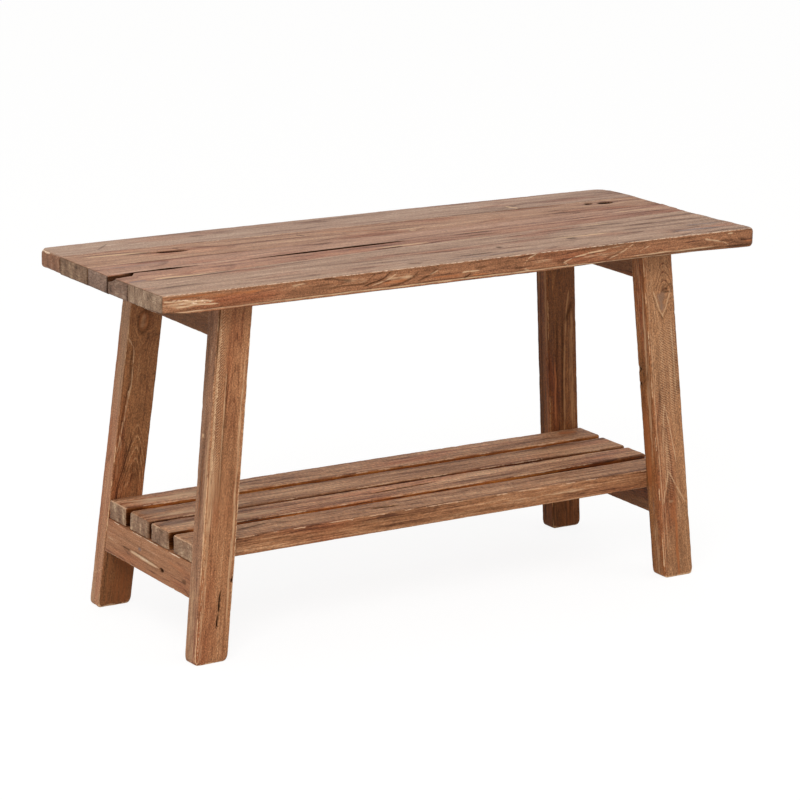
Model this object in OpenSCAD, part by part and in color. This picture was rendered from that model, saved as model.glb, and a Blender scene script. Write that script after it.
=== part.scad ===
// Splayed-leg shoe bench of reclaimed hardwood: a top of five edge-glued tapering boards, four legs that
// lean outwards both ways, two pairs of tenoned cross rails, and a shelf of four thick slats.
// X runs along the bench, Y from front to back, Z up from the floor. The origin is under the middle.

/* [Top] */
// Height of the sitting surface above the floor
seat_h = 450; // [400:1:500]
// Length of the top
top_l = 838; // [760:1:1000]
// Width of the top, front to back
top_w = 304; // [290:1:360]
// Thickness of the top boards
top_t = 24; // [20:0.5:32]
// Rounding of the top's edges
top_edge_r = 2.5; // [1:0.5:4]
// Radius of the back left corner, seen from above
corner_back_left_r = 10; // [5:1:30]
// Radius of the back right corner
corner_back_right_r = 30; // [5:1:40]
// Radius of the front left corner
corner_front_left_r = 5; // [5:1:30]
// Radius of the front right corner
corner_front_right_r = 12; // [5:1:30]

/* [Boards, counted from the back] */
// Width of board 1 at the left end
board_1_left = 61; // [50:0.5:64]
// Width of board 1 at the right end
board_1_right = 66; // [50:0.5:68]
// Width of board 2 at the left end
board_2_left = 69; // [60:0.5:72]
// Width of board 2 at the right end
board_2_right = 56; // [50:0.5:62]
// Width of board 3 at the left end
board_3_left = 50; // [46:0.5:54]
// Width of board 3 at the right end
board_3_right = 36; // [34:0.5:42]
// Width of board 4 at the left end
board_4_left = 48; // [34:0.5:50]
// Width of board 4 at the right end
board_4_right = 25; // [18:0.5:40]

/* [Wear in the top] */
// Length of the open joint that starts at the left end, in front of board 3
end_split_l = 119; // [40:1:160]
// Distance from the left end to the long open joint in the middle
mid_split_start = 187; // [170:1:260]
// Length of the long open joint
mid_split_l = 232; // [80:1:300]
// Widest opening of an open joint
split_w = 1.8; // [0.8:0.1:3]
// Depth of the open joints
split_depth = 14; // [6:0.5:18]
// Length of the chip at the left end of the open joint
chip_l = 32; // [15:1:60]
// Width of that chip at the end face
chip_w = 11; // [5:0.5:18]
// Depth of that chip
chip_depth = 9; // [4:0.5:14]
// Distance from the left end to the short split in board 2
short_split_start = 123; // [90:1:160]
// Length of the short split
short_split_l = 27; // [15:1:50]
// Depth of the short split
short_split_depth = 7; // [3:0.5:14]
// Distance from the top's back edge to the short split
short_split_y = 93; // [85:1:102]
// Distance from the right end to the middle of the knot hole
knot_from_end = 62; // [50:1:90]
// Distance from the top's back edge to the knot hole
knot_from_back = 86; // [80:1:100]
// Length of the knot hole
knot_l = 15; // [10:0.5:24]
// Width of the knot hole
knot_w = 6; // [3:0.5:9]
// Depth of the knot hole
knot_depth = 12; // [4:0.5:16]
// Distance between the knot hole and the small one beside it
small_knot_gap = 27; // [20:1:40]
// Diameter of the small knot hole
small_knot_d = 5; // [3:0.5:8]
// Depth of the small knot hole
small_knot_depth = 6; // [3:0.5:14]

/* [Legs] */
// Width of a leg's section along the bench
leg_w = 43; // [38:0.5:55]
// Depth of a leg's section, front to back
leg_d = 25; // [22:0.5:32]
// Rounding of a leg's long edges
leg_edge_r = 2.5; // [1:0.5:5]
// Outward lean of the legs along the bench, in degrees
splay_end = 5.65; // [2:0.05:8]
// Outward lean of the legs front to back, in degrees
splay_side = 2.6; // [0.5:0.05:4]
// Overhang of the top past the legs at each end, measured under the top
end_overhang = 97.5; // [70:0.5:130]
// Overhang of the top past the legs at the front and back, measured under the top
side_overhang = 36; // [20:0.5:44]
// Size of the worn bevel round the bottom of each foot
foot_bevel = 4; // [1:0.5:6]

/* [Rails] */
// Thickness of the rails
rail_t = 24; // [20:0.5:30]
// Height of the top rails
top_rail_h = 43; // [38:0.5:60]
// Height of the shelf rails
shelf_rail_h = 41; // [36:0.5:55]
// Height of the shelf rails' undersides above the floor
shelf_rail_z = 74; // [50:1:150]
// Set-back of the rails' outer faces behind the legs' outer faces
rail_set_back = 1; // [0.5:0.5:4]
// Bevel along the rails' edges
rail_bevel = 1.5; // [0.5:0.5:3]
// Thickness of the rail tenons
tenon_t = 10; // [6:0.5:12]
// Length of the rail tenons
tenon_l = 15; // [8:0.5:17]
// Height of the shoulder above and below each tenon
tenon_shoulder = 8; // [4:0.5:12]

/* [Shelf slats, counted from the back] */
// Thickness of the slats
slat_t = 23; // [20:0.5:30]
// Width of slat 1
slat_1_w = 42; // [38:0.5:48]
// Width of slat 2
slat_2_w = 47; // [38:0.5:48]
// Width of slat 3
slat_3_w = 44; // [38:0.5:48]
// Width of slat 4
slat_4_w = 46; // [38:0.5:48]
// Rounding of the slats' long edges
slat_edge_r = 3; // [1:0.5:6]
// Set-back of the slat ends behind the shelf rails' outer faces
slat_end_inset = 0.5; // [0.5:0.5:10]

/* [Fixings] */
// Length of the screws
screw_l = 45; // [40:1:47]
// Diameter of the screws' shanks
screw_d = 4; // [3:0.5:5]
// Diameter of the screws' heads
screw_head_d = 8; // [6.5:0.5:9]
// Length of each screw that stands in the top or in a slat
screw_bite = 15; // [10:0.5:18]
// Distance of the outer screws in each top rail from its middle
top_screw_spread = 60; // [45:1:70]
// Diameter of the dowels between the legs and the top
dowel_d = 10; // [6:0.5:12]
// Length of those dowels
dowel_l = 40; // [34:1:44]
// Length of dowel that stands in the top
dowel_in_top = 14; // [10:0.5:16]

/* [Hidden] */
$fn = 48;

// Clearances: glue room round a tenon, slide-in room for a slat, and room round a round fixing
tenon_clear = 0.2;
tenon_end_room = 1;
slat_clear = 0.3;
fixing_clear = 0.1;
hole_end_room = 1;
over = 1;

// The legs' lean as run over rise, and the section that a level cut through a leg shows
lean_x = tan(splay_end);
lean_y = tan(splay_side);
level_leg_w = leg_w / cos(atan(lean_x * cos(splay_side)));
level_leg_d = leg_d / cos(splay_side);
under_z = seat_h - top_t;

// Outer faces of a leg at height z, in the back right quarter
foot_x = top_l / 2 - end_overhang + lean_x * under_z;
foot_y = top_w / 2 - side_overhang + lean_y * under_z;
function leg_out_x(z) = foot_x - lean_x * z;
function leg_out_y(z) = foot_y - lean_y * z;
function leg_in_y(z) = leg_out_y(z) - level_leg_d;

// Outer face and middle of a rail at height z
function rail_out_x(z) = leg_out_x(z) - rail_set_back;
function rail_mid_x(z) = rail_out_x(z) - rail_t / 2;
top_rail_z = under_z - top_rail_h;
shelf_z = shelf_rail_z + shelf_rail_h;
shelf_top_z = shelf_z + slat_t;

// The slats fill the width between the legs. They are laid by eye, so the gaps share what is left
// unevenly.
slat_w = [slat_1_w, slat_2_w, slat_3_w, slat_4_w];
slat_count = len(slat_w);
gap_share = [0.35, 0.23, 0.42];
shelf_half_w = leg_in_y(shelf_top_z) - slat_clear;
function sum_to(v, n) = n == 0 ? 0 : v[n - 1] + sum_to(v, n - 1);
gap_total = 2 * shelf_half_w - sum_to(slat_w, slat_count);
function slat_back_y(i) = shelf_half_w - sum_to(slat_w, i) - gap_total * sum_to(gap_share, i);
function slat_mid_y(i) = slat_back_y(i) - slat_w[i] / 2;
slat_half_l = rail_out_x(shelf_z) - slat_end_inset;

// Board joints: i is 0 at the back edge, then the joint in front of board i
board_left = [board_1_left, board_2_left, board_3_left, board_4_left];
board_right = [board_1_right, board_2_right, board_3_right, board_4_right];
board_count = len(board_left) + 1;
function joint_left_y(i) = i == board_count ? -top_w / 2 : top_w / 2 - sum_to(board_left, i);
function joint_right_y(i) = i == board_count ? -top_w / 2 : top_w / 2 - sum_to(board_right, i);
function joint_y(i, x) = joint_left_y(i)
    + (joint_right_y(i) - joint_left_y(i)) * (x + top_l / 2) / top_l;

// Wear: the open joint's number, how far its cuts' tips stand off the joint line so that they cross
// it cleanly, the chip's shape, and how far the small knot hole lies behind the large one
open_joint = 3;
tip_shift = 0.3;
chip_bend_l = chip_l * 0.6;
chip_bend_w = chip_w * 0.8;
small_knot_shift = 4;

// Screws: the heads sit up inside the rails, the points end inside the top or a slat
screw_below = screw_l - screw_bite;
top_screw_z = under_z - screw_below;
slat_screw_z = shelf_z - screw_below;
top_counterbore = top_rail_h - screw_below;
slat_counterbore = shelf_rail_h - screw_below;
top_screw_x = rail_mid_x(top_rail_z + top_rail_h / 2);
slat_screw_x = rail_mid_x(shelf_rail_z + shelf_rail_h / 2);
top_screw_y = [-top_screw_spread, 0, top_screw_spread];
slat_screw_y = [for (i = [0:slat_count - 1]) slat_mid_y(i)];
screw_head_h = (screw_head_d - screw_d) / 2;
screw_rim_h = 0.6;
screw_point_h = 6;
recess_w = 1.2;
recess_l = 4.4;
recess_depth = 1.6;

// Dowels: upright, one in each leg's top end, half way between the leg's inner face and the tenon
dowel_bottom_z = under_z + dowel_in_top - dowel_l;
dowel_mid_z = (under_z + dowel_bottom_z) / 2;
dowel_x = (leg_out_x(dowel_mid_z) - level_leg_w + rail_mid_x(dowel_mid_z) - tenon_t / 2) / 2;
dowel_y = leg_out_y(dowel_mid_z) - level_leg_d / 2;
dowel_bevel = 1;

// Colours
board_colors = ["#9a7c68", "#a3745a", "#a4765c", "#a0694c", "#9b7d66"];
leg_color = "#9a6645";
rail_color = "#94644a";
slat_colors = ["#9c765f", "#9a7763", "#9f7b64", "#a06c4e"];
steel_color = "#a9a9a6";
dowel_color = "#c7a377";

// Flat shapes

// What rounding an outside corner by r takes away, at the origin's corner
module corner_cut(r) {
    difference() {
        translate([-over, -over]) square([r + over, r + over]);
        translate([r, r]) circle(r);
    }
}

// Rectangle with rounded corners, its lowest corner at the origin
module rounded_rect(w, h, r) {
    translate([r, 0]) square([w - 2 * r, h]);
    translate([0, r]) square([w, h - 2 * r]);
    for (x = [r, w - r], y = [r, h - r]) translate([x, y]) circle(r);
}

// What lies between the foot's bevels, seen along a level axis. Past the bevels it is wider than the
// leaning leg, so that it cuts only the bevels and the two level ends.
module foot_outline(outer, width, lean) {
    reach = foot_bevel + lean * under_z + over;
    low_out = outer - foot_bevel;
    low_in = outer - width + foot_bevel;
    polygon([
        [low_in, 0],
        [low_out, 0],
        [low_out + reach, reach],
        [low_out + reach, under_z],
        [low_in - reach, under_z],
        [low_in - reach, reach]
    ]);
}

// Top

// What rounding the four edges along X takes away, on a block of this length and half width
module edge_cuts(length, half) {
    for (side = [-1, 1], face = [0, 1]) {
        translate([0, side * half, face * top_t])
            mirror([0, side > 0 ? 1 : 0, 0]) mirror([0, 0, face])
            rotate([90, 0, 90]) translate([0, 0, -length / 2 - over])
            linear_extrude(length + 2 * over) corner_cut(top_edge_r);
    }
}

// What rounding one plan corner takes away, at the back right of the origin
module plan_corner_cut(r) {
    translate([-r, -r, 0]) difference() {
        translate([0, 0, -over]) cube([r + over, r + over, top_t + 2 * over]);
        rotate_extrude() difference() {
            square([r, top_t]);
            translate([r, 0]) mirror([1, 0]) corner_cut(top_edge_r);
            translate([r, top_t]) mirror([1, 0]) mirror([0, 1]) corner_cut(top_edge_r);
        }
    }
}

// The whole top before its joints and holes are cut
module top_blank() {
    difference() {
        translate([-top_l / 2, -top_w / 2, 0]) cube([top_l, top_w, top_t]);
        edge_cuts(top_l, top_w / 2);
        rotate([0, 0, 90]) edge_cuts(top_w, top_l / 2);
        translate([top_l / 2, top_w / 2, 0]) plan_corner_cut(corner_back_right_r);
        translate([-top_l / 2, top_w / 2, 0]) mirror([1, 0, 0]) plan_corner_cut(corner_back_left_r);
        translate([top_l / 2, -top_w / 2, 0]) mirror([0, 1, 0]) plan_corner_cut(corner_front_right_r);
        translate([-top_l / 2, -top_w / 2, 0]) mirror([1, 0, 0]) mirror([0, 1, 0])
            plan_corner_cut(corner_front_left_r);
    }
}

// Point beside the open joint: at x, and dy behind the joint line
function by_joint(x, dy) = [x, joint_y(open_joint, x) + dy];

// Cuts the children's flat shape down into the top's face
module cut_down(depth) {
    translate([0, 0, top_t - depth]) linear_extrude(depth + over) children();
}

// Open joint at the left end, and the chip in front of it
module end_split() {
    end_x = -top_l / 2;
    half_w = split_w / 2;
    cut_down(split_depth) polygon([
        by_joint(end_x - over, half_w),
        by_joint(end_x + end_split_l, -tip_shift),
        by_joint(end_x - over, -half_w)
    ]);
    cut_down(chip_depth) polygon([
        by_joint(end_x - over, tip_shift),
        by_joint(end_x - over, -chip_w),
        by_joint(end_x + chip_bend_l, -chip_bend_w),
        by_joint(end_x + chip_l, tip_shift)
    ]);
}

// Long open joint, widest in its middle
module mid_split() {
    x1 = mid_split_start - top_l / 2;
    x2 = x1 + mid_split_l;
    xm = (x1 + x2) / 2;
    cut_down(split_depth) polygon([
        by_joint(x1, -tip_shift),
        by_joint(xm, -split_w / 2),
        by_joint(x2, -tip_shift),
        by_joint(xm, split_w / 2)
    ]);
}

// Short split along the grain in board 2
module short_split() {
    y = top_w / 2 - short_split_y;
    x1 = short_split_start - top_l / 2;
    x2 = x1 + short_split_l;
    xm = (x1 + x2) / 2;
    cut_down(short_split_depth) polygon([[x1, y], [xm, y - split_w / 2], [x2, y], [xm, y + split_w / 2]]);
}

// Knot hole with round ends, and the small round one beside it
module knot_holes() {
    half_l = (knot_l - knot_w) / 2;
    translate([top_l / 2 - knot_from_end, top_w / 2 - knot_from_back]) {
        cut_down(knot_depth) {
            for (side = [-1, 1]) translate([side * half_l, 0]) circle(d = knot_w);
            translate([-half_l, -knot_w / 2]) square([2 * half_l, knot_w]);
        }
        cut_down(small_knot_depth) translate([-small_knot_gap, small_knot_shift]) circle(d = small_knot_d);
    }
}

// Board i, counted from 0 at the back
module top_board(i) {
    color(board_colors[i]) translate([0, 0, under_z]) difference() {
        intersection() {
            top_blank();
            translate([0, 0, -over]) linear_extrude(top_t + 2 * over) polygon([
                [-top_l / 2 - over, joint_y(i, -top_l / 2 - over)],
                [top_l / 2 + over, joint_y(i, top_l / 2 + over)],
                [top_l / 2 + over, joint_y(i + 1, top_l / 2 + over)],
                [-top_l / 2 - over, joint_y(i + 1, -top_l / 2 - over)]
            ]);
        }
        end_split();
        mid_split();
        short_split();
        knot_holes();
        translate([0, 0, -under_z]) {
            at_top_screws() screw_hole(top_counterbore);
            at_dowels() dowel_hole();
        }
    }
}

// Legs

// Leg in the back right quarter
module leg() {
    color(leg_color) difference() {
        intersection() {
            translate([foot_x, foot_y, 0]) rotate([splay_side, 0, 0])
                rotate([0, -atan(lean_x * cos(splay_side)), 0])
                translate([-leg_w, -leg_d, -leg_w]) linear_extrude(seat_h + 2 * leg_w)
                rounded_rect(leg_w, leg_d, leg_edge_r);
            rotate([90, 0, 0]) translate([0, 0, -top_w]) linear_extrude(2 * top_w)
                foot_outline(foot_x, level_leg_w, lean_x);
            rotate([90, 0, 90]) linear_extrude(2 * top_l) foot_outline(foot_y, level_leg_d, lean_y);
        }
        tenon(top_rail_z, top_rail_h, tenon_clear, tenon_end_room);
        tenon(shelf_rail_z, shelf_rail_h, tenon_clear, tenon_end_room);
        at_dowels() dowel_hole();
    }
}

// Puts what belongs to the back right quarter into the quarter with the signs sx and sy
module in_quarter(sx, sy) {
    mirror([sx < 0 ? 1 : 0, 0, 0]) mirror([0, sy < 0 ? 1 : 0, 0]) children();
}

// Rails

// Section of a rail across the bench: level top and bottom, faces that lean with the legs
module rail_section(z, h) {
    z2 = z + h;
    b = rail_bevel;
    polygon([
        [rail_out_x(z) - b, z],
        [rail_out_x(z + b), z + b],
        [rail_out_x(z2 - b), z2 - b],
        [rail_out_x(z2) - b, z2],
        [rail_out_x(z2) - rail_t + b, z2],
        [rail_out_x(z2 - b) - rail_t, z2 - b],
        [rail_out_x(z + b) - rail_t, z + b],
        [rail_out_x(z) - rail_t + b, z]
    ]);
}

// Both tenons of a rail as one bar through it, grown by a clearance on its sides and ends
module tenon(z, h, side_clear, end_clear) {
    z1 = z + tenon_shoulder - side_clear;
    z2 = z + h - tenon_shoulder + side_clear;
    half_t = tenon_t / 2 + side_clear;
    half_l = leg_in_y(z + h / 2) + tenon_l + end_clear;
    rotate([90, 0, 0]) translate([0, 0, -half_l]) linear_extrude(2 * half_l) polygon([
        [rail_mid_x(z1) - half_t, z1],
        [rail_mid_x(z1) + half_t, z1],
        [rail_mid_x(z2) + half_t, z2],
        [rail_mid_x(z2) - half_t, z2]
    ]);
}

// Rail at the right end, from height z, with its shoulders cut to the legs' lean
module rail(z, h) {
    intersection() {
        rotate([90, 0, 0]) translate([0, 0, -top_w]) linear_extrude(2 * top_w) rail_section(z, h);
        rotate([90, 0, 90]) linear_extrude(2 * top_l) polygon([
            [-leg_in_y(z), z],
            [leg_in_y(z), z],
            [leg_in_y(z + h), z + h],
            [-leg_in_y(z + h), z + h]
        ]);
    }
    tenon(z, h, 0, 0);
}

module top_rail() {
    color(rail_color) difference() {
        rail(top_rail_z, top_rail_h);
        at_top_screws() screw_hole(top_counterbore);
    }
}

module shelf_rail() {
    color(rail_color) difference() {
        rail(shelf_rail_z, shelf_rail_h);
        at_slat_screws() screw_hole(slat_counterbore);
    }
}

// Shelf

// Slat i, counted from 0 at the back
module shelf_slat(i) {
    color(slat_colors[i]) difference() {
        translate([-slat_half_l, slat_back_y(i) - slat_w[i], shelf_z]) rotate([90, 0, 90])
            linear_extrude(2 * slat_half_l) rounded_rect(slat_w[i], slat_t, slat_edge_r);
        at_slat_screws() screw_hole(slat_counterbore);
    }
}

// Fixings

// Puts a fixing at each screw of the top
module at_top_screws() {
    for (sx = [-1, 1], y = top_screw_y) translate([sx * top_screw_x, y, top_screw_z]) children();
}

// Puts a fixing at each screw of the shelf
module at_slat_screws() {
    for (sx = [-1, 1], y = slat_screw_y) translate([sx * slat_screw_x, y, slat_screw_z]) children();
}

// Puts a fixing at the dowel of each leg
module at_dowels() {
    for (sx = [-1, 1], sy = [-1, 1]) translate([sx * dowel_x, sy * dowel_y, dowel_bottom_z]) children();
}

// Countersunk wood screw, its head's face at the origin and its point upwards
module screw() {
    difference() {
        union() {
            cylinder(d = screw_head_d, h = screw_rim_h);
            translate([0, 0, screw_rim_h]) cylinder(d1 = screw_head_d, d2 = screw_d, h = screw_head_h);
            cylinder(d = screw_d, h = screw_l - screw_point_h);
            translate([0, 0, screw_l - screw_point_h])
                cylinder(d1 = screw_d, d2 = screw_d / 4, h = screw_point_h);
        }
        for (turn = [0, 90]) rotate([0, 0, turn]) translate([-recess_l / 2, -recess_w / 2, -over])
            cube([recess_l, recess_w, recess_depth + over]);
    }
}

// Hole for a screw, with its countersink and a counterbore of this depth below it
module screw_hole(counterbore) {
    wide = screw_head_d + 2 * fixing_clear;
    narrow = screw_d + 2 * fixing_clear;
    translate([0, 0, -counterbore - over]) cylinder(d = wide, h = counterbore + over + screw_rim_h);
    translate([0, 0, screw_rim_h]) cylinder(d1 = wide, d2 = narrow, h = screw_head_h);
    cylinder(d = narrow, h = screw_l + fixing_clear);
}

module dowel() {
    cylinder(d1 = dowel_d - 2 * dowel_bevel, d2 = dowel_d, h = dowel_bevel);
    translate([0, 0, dowel_bevel]) cylinder(d = dowel_d, h = dowel_l - 2 * dowel_bevel);
    translate([0, 0, dowel_l - dowel_bevel])
        cylinder(d1 = dowel_d, d2 = dowel_d - 2 * dowel_bevel, h = dowel_bevel);
}

module dowel_hole() {
    translate([0, 0, -hole_end_room])
        cylinder(d = dowel_d + 2 * fixing_clear, h = dowel_l + 2 * hole_end_room);
}

module top_screws() {
    color(steel_color) at_top_screws() screw();
}

module slat_screws() {
    color(steel_color) at_slat_screws() screw();
}

module leg_dowels() {
    color(dowel_color) at_dowels() dowel();
}

top_board(0);  // top_board_1
top_board(1);  // top_board_2
top_board(2);  // top_board_3
top_board(3);  // top_board_4
top_board(4);  // top_board_5
in_quarter(-1, -1) leg();  // leg_front_left
in_quarter(1, -1) leg();  // leg_front_right
in_quarter(-1, 1) leg();  // leg_back_left
in_quarter(1, 1) leg();  // leg_back_right
in_quarter(-1, 1) top_rail();  // top_rail_left
in_quarter(1, 1) top_rail();  // top_rail_right
in_quarter(-1, 1) shelf_rail();  // shelf_rail_left
in_quarter(1, 1) shelf_rail();  // shelf_rail_right
shelf_slat(0);  // shelf_slat_1
shelf_slat(1);  // shelf_slat_2
shelf_slat(2);  // shelf_slat_3
shelf_slat(3);  // shelf_slat_4
top_screws();
slat_screws();
leg_dowels();
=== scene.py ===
import math

import bpy
import numpy as np
from mathutils import Matrix, Vector


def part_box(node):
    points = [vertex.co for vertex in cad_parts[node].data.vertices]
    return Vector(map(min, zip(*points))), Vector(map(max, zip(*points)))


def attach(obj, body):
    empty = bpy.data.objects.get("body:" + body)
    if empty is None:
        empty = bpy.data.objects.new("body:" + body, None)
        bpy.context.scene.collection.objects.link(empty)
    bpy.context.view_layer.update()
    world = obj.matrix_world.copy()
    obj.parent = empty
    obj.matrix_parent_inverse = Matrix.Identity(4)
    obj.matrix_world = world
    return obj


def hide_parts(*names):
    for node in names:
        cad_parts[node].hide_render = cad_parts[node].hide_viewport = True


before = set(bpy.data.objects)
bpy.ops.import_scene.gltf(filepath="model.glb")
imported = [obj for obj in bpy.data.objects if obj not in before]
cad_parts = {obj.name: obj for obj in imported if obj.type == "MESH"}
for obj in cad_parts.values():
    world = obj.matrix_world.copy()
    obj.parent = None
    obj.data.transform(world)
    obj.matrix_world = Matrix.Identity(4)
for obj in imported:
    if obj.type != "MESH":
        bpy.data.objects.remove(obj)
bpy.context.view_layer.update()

# Rustic shoe bench of reclaimed teak. Everything below works in millimetres until a mesh is made.
# X runs along the bench, Y from front to back and Z up, as in the frame.

# What the frame gives


def corners(node):
    """Lowest and highest corner of a CAD node."""
    return np.array([list(c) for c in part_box(node)]) * 1000


def level_face(node, axis, at):
    """Lowest and highest corner of the CAD node's points that lie in the plane at, across axis."""
    points = np.array([list(v.co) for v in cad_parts[node].data.vertices]) * 1000
    points = points[np.abs(points[:, axis] - at) < 0.01]
    return points.min(0), points.max(0)


BOARDS = [f"top_board_{i}" for i in range(1, 6)]
SLATS = [f"shelf_slat_{i}" for i in range(1, 5)]
ENDS = {"left": -1, "right": 1}

top_low = np.min([corners(b)[0] for b in BOARDS], axis=0)
top_high = np.max([corners(b)[1] for b in BOARDS], axis=0)
top_l, _, top_t = top_high - top_low

# Small tools


def add_object(name, data):
    """A new object in the scene."""
    made = bpy.data.objects.new(name, data)
    bpy.context.scene.collection.objects.link(made)
    return made


def smooth(low, high, x):
    """0 below low, 1 above high, and an even curve between them."""
    t = np.clip((x - low) / (high - low), 0, 1)
    return t * t * (3 - 2 * t)


def noise(points, seed):
    """Smooth noise from -1 to 1 with one bump per unit, the same on every run."""
    points = np.asarray(points, float)
    cell = np.floor(points).astype(np.int64)
    f = points - cell
    f = f * f * (3 - 2 * f)
    total = np.zeros(len(points))
    for corner in np.ndindex(2, 2, 2):
        a, b, c = (cell + corner).T
        mixed = (a * 73856093) ^ (b * 19349663) ^ (c * 83492791) ^ (seed * 2654435761)
        mixed = (mixed ^ (mixed >> 13)) * 1274126177
        value = ((mixed ^ (mixed >> 16)) & 0xFFFF) / 32767.5 - 1
        total += value * np.prod(np.where(corner, f, 1 - f), axis=1)
    return total


def noise_along(x, size, seed, lane=0.0):
    """Noise that changes along one direction. Each lane has its own run of it."""
    x = np.asarray(x, float)
    lane = np.broadcast_to(np.asarray(lane, float) * 7.31, x.shape)
    return noise(np.stack([x / size, lane, 0 * x], 1), seed)


# Blocks of wood. A block's own directions are along the grain (0), across (1) and through (2).

ACROSS_STEP = 1.2
EDGE_TICKS = np.array([0, 0.08, 0.2, 0.38, 0.65, 1.0])


def ticks(length, edge, step):
    """Places along one side of a block: every step, and closer over its rounded edges."""
    near = edge * EDGE_TICKS
    count = max(2, round((length - 2 * edge) / step) + 1)
    middle = np.linspace(edge, length - edge, count)
    return np.concatenate([near[:-1], middle, length - near[-2::-1]]) - length / 2


def block(size, edge, steps):
    """Points and quads of a closed block whose six faces are fine grids that share their edges."""
    sides = [ticks(length, edge, step) for length, step in zip(size, steps)]
    shape = tuple(len(s) for s in sides)
    where = np.indices(shape)
    last = np.array(shape).reshape(3, 1, 1, 1) - 1
    shell = ((where == 0) | (where == last)).any(0)
    number = np.full(shape, -1)
    number[shell] = np.arange(shell.sum())
    points = np.stack([sides[k][where[k][shell]] for k in range(3)], 1)
    quads = []
    for axis in range(3):
        for side in (0, -1):
            face = number.take(side, axis=axis)
            quad = np.stack([face[:-1, :-1], face[1:, :-1], face[1:, 1:], face[:-1, 1:]], -1)
            quad = quad.reshape(-1, 4)
            flip = (side == 0) != (axis == 1)
            quads.append(quad[:, ::-1] if flip else quad)
    return points, np.concatenate(quads)


def rounded(points, size, radii):
    """Rounds a block's edges and corners. radii holds, for each point, a radius for each direction.
    Returns the points, the outward direction there, and how far up an arris each lies, from 0 to 1."""
    half = np.asarray(size) / 2
    inner = np.clip(points, radii - half, half - radii)
    u = (points - inner) / radii
    big = np.abs(u).max(1, keepdims=True)
    long = np.maximum(np.linalg.norm(u, axis=1, keepdims=True), 1e-9)
    arris = (1 - big / long) / (1 - math.sqrt(0.5))
    return inner + u * big / long * radii, u / long, np.clip(arris[:, 0], 0, 1)


# Marks: what sets one stretch of a face apart. The words for a face and for a kind hold for the rows
# after them. A row is
#   start and end along the grain, place across at each of them or at both, half width, amount
# in millimetres. A crack is a dark groove as deep as amount. A knot's row gives its middle along and
# across, its half length and half width, and how deep it has sunk. A figure's row gives nested curves,
# as growth rings show on a plain sawn face: the tip along and across, the reach along from there with
# its sign, half the width there, the distance between curves along, the amount, which is negative for
# pale curves, and the power that makes the tip pointed (1) or blunt (4).

MARKED_FACES = ("top", "front", "left")
# What the mesh carries for the material at each point, beside its place in the grain and its wear, which is
# partly painted highlight; dark also carries painted shade
CHANNELS = ("warm", "grey", "pale", "dark", "hatch", "second", "phase", "figure", "ends")


def band(along, across, mark, seed):
    """How much of a mark each point has, from 0 to 1."""
    start, end, place_1, place_2, half_w = mark
    t = (along - start) / (end - start)
    wander = 0.35 * half_w * noise_along(along, 9 * half_w + 12, seed)
    middle = place_1 + (place_2 - place_1) * t + wander
    taper = smooth(0, 0.3, t) * smooth(0, 0.3, 1 - t)
    width = half_w * (0.35 + 0.65 * taper)
    return taper ** 0.5 * np.exp(-(((across - middle) / width) ** 2))


def path(half_w, amount, *points):
    """Marks in a row that follow a line through points, each of which is (along, across)."""
    rows = []
    for (l1, c1), (l2, c2) in zip(points, points[1:]):
        over_l, over_c = 0.25 * (l2 - l1), 0.25 * (c2 - c1)
        rows.append((l1 - over_l, l2 + over_l, c1 - over_c, c2 + over_c, half_w, amount))
    return rows


def marks_of(*items):
    """Marks from words, rows and paths. Each mark comes out with its face and kind in front."""
    marks = []
    for item in items:
        if item in MARKED_FACES:
            face = item
        elif isinstance(item, str):
            kind = item
        else:
            for row in item if isinstance(item, list) else [item]:
                if kind not in ("knot", "figure"):
                    start, end, *places, half_w, amount = row
                    row = (start, end, places[0], places[-1], half_w, amount)
                marks.append((face, kind, *row))
    return marks


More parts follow.
